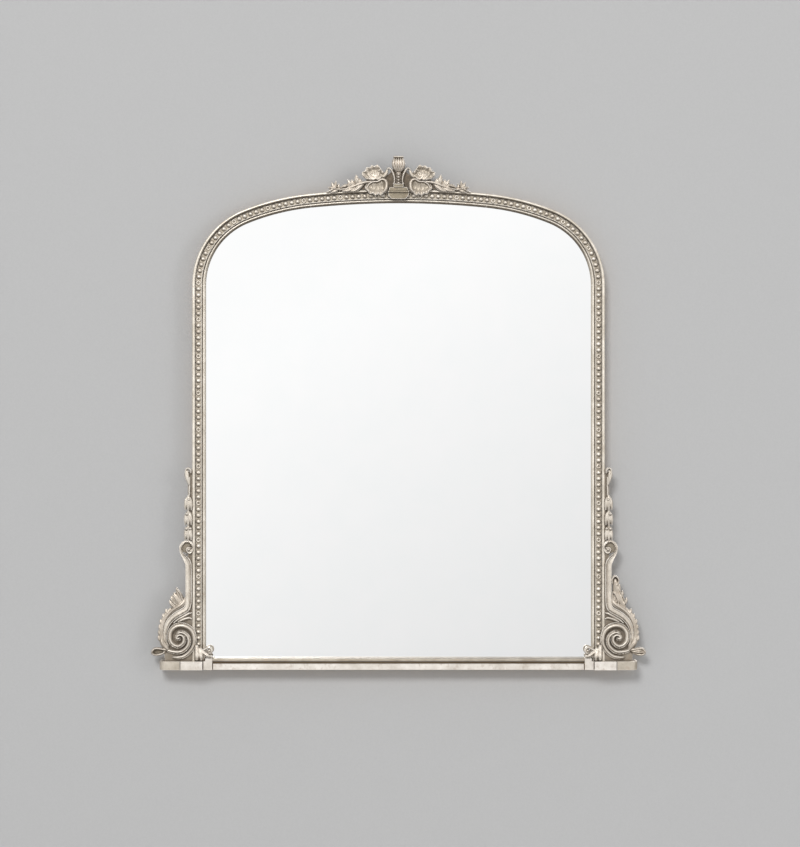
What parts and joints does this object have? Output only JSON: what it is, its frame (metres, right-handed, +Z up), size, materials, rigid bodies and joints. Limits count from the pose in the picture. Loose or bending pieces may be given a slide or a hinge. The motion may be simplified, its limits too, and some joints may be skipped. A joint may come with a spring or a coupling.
{
  "type": "arched wall mirror",
  "caption": "Arched overmantel-style wall mirror with a beaded silver-leaf frame, foliage crest, scroll brackets and stepped plinth, hung by two D-rings.",
  "frame": {"origin": "middle of the lower back edge, on the wall plane at the height of the plinth's underside", "axes": "+Z up, +Y out of the back towards the wall, so the glass faces -Y; +X to the right seen from the front"},
  "size_m": [1.1398, 0.062, 1.181],
  "materials": {
    "silvered_glass": "silvered float glass",
    "backing_board": "brown hardboard, smooth face",
    "bare_timber": "sawn softwood, unfinished",
    "dowel_timber": "fluted beech",
    "packer_cork": "pressed cork",
    "hardware_steel": "zinc plated",
    "screw_steel": "yellow passivated",
    "bumper_rubber": "matt black",
    "toned_board": "dark toned bole",
    "beading_leaf": "antique silver leaf over bole, crests rubbed bright",
    "moulding_leaf": "antique silver leaf over bole",
    "plinth_leaf": "antique silver leaf over bole, worn edges",
    "carving_leaf": "antique silver leaf over bole, dark patina in the hollows"
  },
  "bodies": {
    "frame": {"backing_board": "backing_board", "batten_screws": "screw_steel", "beading_left": "beading_leaf", "beading_right": "beading_leaf", "bracket_acanthus_left": "carving_leaf", "bracket_acanthus_right": "carving_leaf", "bracket_board_left": "toned_board", "bracket_board_right": "toned_board", "bracket_foot_leaf_left": "carving_leaf", "bracket_foot_leaf_right": "carving_leaf", "bracket_husk_drop_left": "carving_leaf", "bracket_husk_drop_right": "carving_leaf", "bracket_strap_left": "carving_leaf", "bracket_strap_right": "carving_leaf", "bracket_volute_left": "carving_leaf", "bracket_volute_right": "carving_leaf", "carcass_bottom_rail": "bare_timber", "carcass_crown": "bare_timber", "carcass_haunch_left": "bare_timber", "carcass_haunch_right": "bare_timber", "carcass_stile_left": "bare_timber", "carcass_stile_right": "bare_timber", "crest_base": "carving_leaf", "crest_board": "toned_board", "crest_lower_left": "carving_leaf", "crest_lower_right": "carving_leaf", "crest_palmette": "carving_leaf", "crest_scroll_left": "carving_leaf", "crest_scroll_right": "carving_leaf", "crest_spray_left": "carving_leaf", "crest_spray_right": "carving_leaf", "crest_upper_left": "carving_leaf", "crest_upper_right": "carving_leaf", "dowels": "dowel_timber", "glass_packers": "packer_cork", "hanger_strap_left": "hardware_steel", "hanger_strap_right": "hardware_steel", "mirror_glass": "silvered_glass", "moulding_crown": "moulding_leaf", "moulding_haunch_left": "moulding_leaf", "moulding_haunch_right": "moulding_leaf", "moulding_stile_left": "moulding_leaf", "moulding_stile_right": "moulding_leaf", "plinth_block_end_left": "plinth_leaf", "plinth_block_end_right": "plinth_leaf", "plinth_block_inner_left": "plinth_leaf", "plinth_block_inner_right": "plinth_leaf", "plinth_block_middle_left": "plinth_leaf", "plinth_block_middle_right": "plinth_leaf", "plinth_cap": "plinth_leaf", "plinth_core": "bare_timber", "plinth_fascia": "plinth_leaf", "retainer_clips": "hardware_steel", "short_screws": "screw_steel", "wall_batten": "bare_timber", "wall_bumpers": "bumper_rubber"},
    "ring_left": {"hanger_ring_left": "hardware_steel"},
    "ring_right": {"hanger_ring_right": "hardware_steel"}
  },
  "joints": [
    {"name": "ring_left_swing", "type": "hinge", "parent": "frame", "child": "ring_left", "pos_m": [-0.4625, -0.00645, 0.76], "axis": [1, 0, 0], "range_deg": [0, 180]},
    {"name": "ring_right_swing", "type": "hinge", "parent": "frame", "child": "ring_right", "pos_m": [0.4625, -0.00645, 0.76], "axis": [1, 0, 0], "range_deg": [0, 180]}
  ]
}
